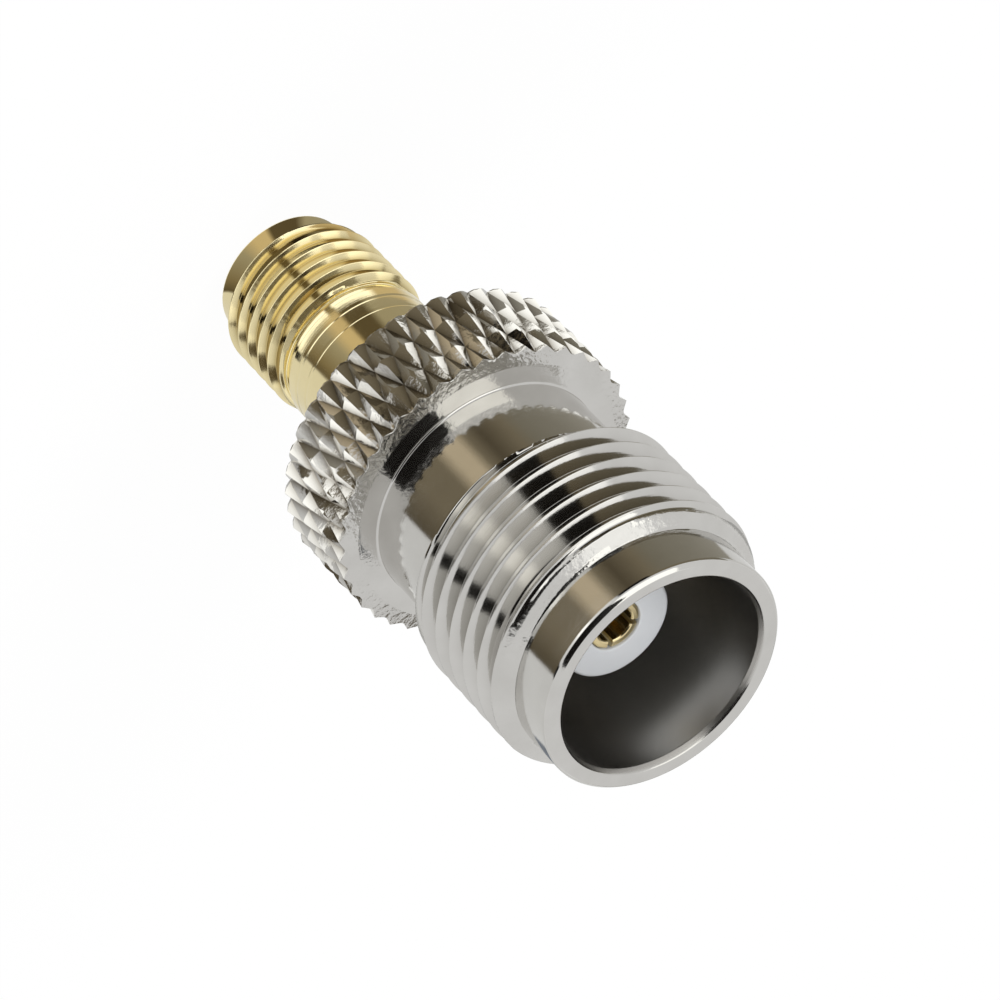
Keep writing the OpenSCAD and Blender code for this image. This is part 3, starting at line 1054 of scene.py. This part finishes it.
# %% [markdown]
# The upright walls of the adapter mirror the floor close around it, because the camera looks down. In the
# photograph they are brown on the side of the camera and light grey beside that, with clear edges. The higher a
# wall stands, the farther out it mirrors the floor, so flat rings of card lie round the foot: three for the gold
# barrel, one for the neck and the nose, and a far one. The flanks of the large thread mirror the far one by way of
# the next flank, and it gives them their black patches.
#
# Two more rings stand upright. A low one, close in, is what the flanks of the small thread mirror in pairs. A
# higher one gives the teeth of the knurl something bright and something brown to glitter with.
#
# Along each ring the tones change with the angle, from one named tone to the next. The camera is at angle 0.


# %% Tones of the cards
def glowing(name, colour):
    """A card that shows a plain tone in reflections."""
    material = bpy.data.materials.new(name)
    material.use_nodes = True
    tree = material.node_tree
    tree.nodes.remove(tree.nodes["Principled BSDF"])
    glow = tree.nodes.new("ShaderNodeEmission")
    glow.inputs["Color"].default_value = (*colour, 1.0)
    tree.links.new(glow.outputs[0], tree.nodes["Material Output"].inputs[0])
    return material, tree, glow


BLACK, DARK_BROWN, BROWN = (0.01, 0.009, 0.008), (0.10, 0.08, 0.05), (0.21, 0.175, 0.115)
TAN, GREY_BROWN, WARM_GREY = (0.60, 0.50, 0.34), (0.22, 0.20, 0.15), (0.34, 0.32, 0.27)
GREY_BLUE, LIGHT, WHITE = (0.20, 0.22, 0.25), (0.76, 0.76, 0.75), (1.0, 1.0, 0.98)
BRIGHT, PALE, GLARE = (1.3, 1.3, 1.28), (1.4, 1.42, 1.45), (1.6, 1.6, 1.55)
GOLD_TONES = (
    (-180, LIGHT), (-52, LIGHT), (-50, DARK_BROWN), (-38, BROWN), (-12, WARM_GREY), (2, TAN), (14, TAN),
    (19, DARK_BROWN), (44, DARK_BROWN), (54, WARM_GREY), (104, WARM_GREY), (122, LIGHT), (180, LIGHT),
)
DIM_TONES = (
    (-180, LIGHT), (-64, LIGHT), (-62, BROWN), (-20, GREY_BROWN), (26, BROWN), (32, BLACK), (66, BLACK),
    (72, BROWN), (100, WARM_GREY), (120, LIGHT), (180, LIGHT),
)
BAR_TONES = (
    (-180, LIGHT), (-52, LIGHT), (-51, BLACK), (-43, BLACK), (-42, WHITE), (-34, PALE), (4, PALE), (7, BROWN),
    (13, BROWN), (16, PALE), (54, PALE), (62, TAN), (90, TAN), (110, LIGHT), (180, LIGHT),
)
NECK_TONES = (
    (-180, GREY_BLUE), (-142, GREY_BLUE), (-138, LIGHT), (-65, LIGHT), (-64, DARK_BROWN), (-36, BROWN),
    (-12, BROWN), (-2, TAN), (9, TAN), (17, BROWN), (28, DARK_BROWN), (48, BROWN), (60, GREY_BROWN),
    (128, WARM_GREY), (130, LIGHT), (180, LIGHT),
)
KNURL_TONES = (
    (-180, WHITE), (-112, WHITE), (-110, DARK_BROWN), (-96, DARK_BROWN), (-94, WHITE), (-60, GLARE),
    (-34, GLARE), (-24, LIGHT), (-14, BROWN), (36, BROWN), (46, GLARE), (90, GLARE), (112, WHITE),
    (114, GREY_BROWN), (124, GREY_BROWN), (126, WHITE), (180, WHITE),
)
FAR_TONES = (
    (-180, LIGHT), (-62.5, LIGHT), (-62, BLACK), (-52, BLACK), (-51.5, LIGHT), (-30, WHITE), (-24, GLARE),
    (-15, GLARE), (-9, WHITE), (8, WHITE), (15, LIGHT), (17, BLACK), (43, BLACK), (45, BROWN),
    (108, GREY_BROWN), (111, LIGHT), (180, LIGHT),
)
print("tones on the far card:", len(FAR_TONES))

# %% Cards round the foot
CARD_LIFT, CARD_STEPS = 0.02, 144
CARD_EDGES = (2.66, 4.4, 8.0, 20.0, 40.5, 400.0)
KNURL_CARD_RADIUS, KNURL_CARD_FOOT, KNURL_CARD_TOP = 9.0, 8.0, 11.2
BAR_CARD_RADIUS, BAR_CARD_FOOT, BAR_CARD_TOP = 5.0, 0.3, 3.8


def ring_card(name, inner, outer, tones):
    """A ring card between two circles, each a radius and a height. Its tones go by angle, from -Y towards -X."""
    first = tones[0][0]
    points = []
    for step in range(CARD_STEPS + 1):
        angle = math.radians(first + 360 * step / CARD_STEPS)
        for radius, height in (inner, outer):
            points.append((-radius * math.sin(angle) * MM, -radius * math.cos(angle) * MM, height * MM))
    faces = [(2 * k, 2 * k + 2, 2 * k + 3, 2 * k + 1) for k in range(CARD_STEPS)]
    mesh = bpy.data.meshes.new(name)
    mesh.from_pydata(points, [], faces)
    material, tree, glow = glowing(name, tones[0][1])
    parts = tree.nodes.new("ShaderNodeSeparateXYZ")
    tree.links.new(object_place(tree), parts.inputs[0])
    x, y, _ = parts.outputs
    angle = formula(tree, "ARCTAN2", formula(tree, "MULTIPLY", x, -1.0), formula(tree, "MULTIPLY", y, -1.0))
    ramp = tree.nodes.new("ShaderNodeValToRGB")
    tree.links.new(formula(tree, "MULTIPLY_ADD", angle, 1 / (2 * math.pi), 0.5), ramp.inputs[0])
    stops = ramp.color_ramp.elements
    stops.remove(stops[1])
    stops[0].position, stops[0].color = first / 360 + 0.5, (*tones[0][1], 1.0)
    for degrees, tone in tones[1:]:
        stops.new(degrees / 360 + 0.5).color = (*tone, 1.0)
    tree.links.new(ramp.outputs[0], glow.inputs["Color"])
    return staged(name, mesh, material)


for title, inner, outer, tones in zip(
    ("lead_card", "dim_card", "barrel_card", "neck_card", "far_card"), CARD_EDGES, CARD_EDGES[1:],
    (GOLD_TONES, DIM_TONES, GOLD_TONES, NECK_TONES, FAR_TONES),
):
    ring_card(title, (inner, CARD_LIFT), (outer, CARD_LIFT), tones)
ring_card("knurl_card", (KNURL_CARD_RADIUS, KNURL_CARD_FOOT), (KNURL_CARD_RADIUS, KNURL_CARD_TOP), KNURL_TONES)
ring_card("bar_card", (BAR_CARD_RADIUS, BAR_CARD_FOOT), (BAR_CARD_RADIUS, BAR_CARD_TOP), BAR_TONES)
print("ring cards:", len(CARD_EDGES) - 1, "flat and 2 upright")

# %% [markdown]
# The bevels and the collar's face look up and towards the camera. A dark card beside the camera gives the black
# stretch where the collar meets the neck, and a brown one behind the adapter tones its far side. Two bright cards
# above are the soft boxes that whiten the bevels and the outer flanks of the thread. The rest of the sky is light.


# %% Cards in the sky
def sky_card(name, direction, distance, width, length, colour):
    """A card that hangs in a direction from the adapter and faces it."""
    card = staged(name, flat_mesh(name, width, length), glowing(name, colour)[0])
    card.rotation_mode = "QUATERNION"
    card.rotation_quaternion = (-Vector(direction)).to_track_quat("Z", "Y")
    card.location = Vector(direction).normalized() * distance + middle
    return card


middle = Vector((0, 0, mouth / 2 * MM))
sky_cards = [
    sky_card("dark_front", (0.307, -0.80, 0.646), distance=0.25, width=0.255, length=0.277, colour=BLACK),
    sky_card("dark_back", (0.05, 0.95, 0.31), distance=0.30, width=0.16, length=0.09, colour=DARK_BROWN),
    sky_card("soft_box", (-0.44, -0.53, 0.75), distance=0.35, width=0.35, length=0.30, colour=GLARE),
    sky_card("top_box", (-0.30, 0.08, 0.95), distance=0.36, width=0.18, length=0.18, colour=BRIGHT),
]
print("sky cards:", [card.name for card in sky_cards])

# %% [markdown]
# The lamps light what is matt: the insulators and the floor with its shadow. The metals would show them as hard
# white squares, so reflections don't see the lamps. The world is a plain light grey, which is what the metals
# mirror wherever no card hangs.

# %% Lamps and world
WORLD_TONE = (0.82, 0.82, 0.82, 1)


def area_lamp(name, place, size, power):
    """A soft square lamp that looks at the middle of the adapter."""
    data = bpy.data.lights.new(name, "AREA")
    data.size = size
    data.energy = power
    lamp = bpy.data.objects.new(name, data)
    lamp.location = place
    lamp.rotation_mode = "QUATERNION"
    lamp.rotation_quaternion = (middle - Vector(place)).to_track_quat("-Z", "Y")
    lamp.visible_glossy = False
    bpy.context.scene.collection.objects.link(lamp)
    return lamp


key = area_lamp("key", (-0.25, -0.15, 0.3), size=0.12, power=0.5)
fill = area_lamp("fill", (0.3, 0.05, 0.3), size=0.15, power=0.4)
world = bpy.data.worlds.new("world")
world.use_nodes = True
background = world.node_tree.nodes["Background"]
background.inputs["Color"].default_value = WORLD_TONE
background.inputs["Strength"].default_value = 1.0
bpy.context.scene.world = world
bpy.context.scene.view_settings.view_transform = "Standard"
print("lamps in watts:", [round(lamp.data.energy, 2) for lamp in (key, fill)])
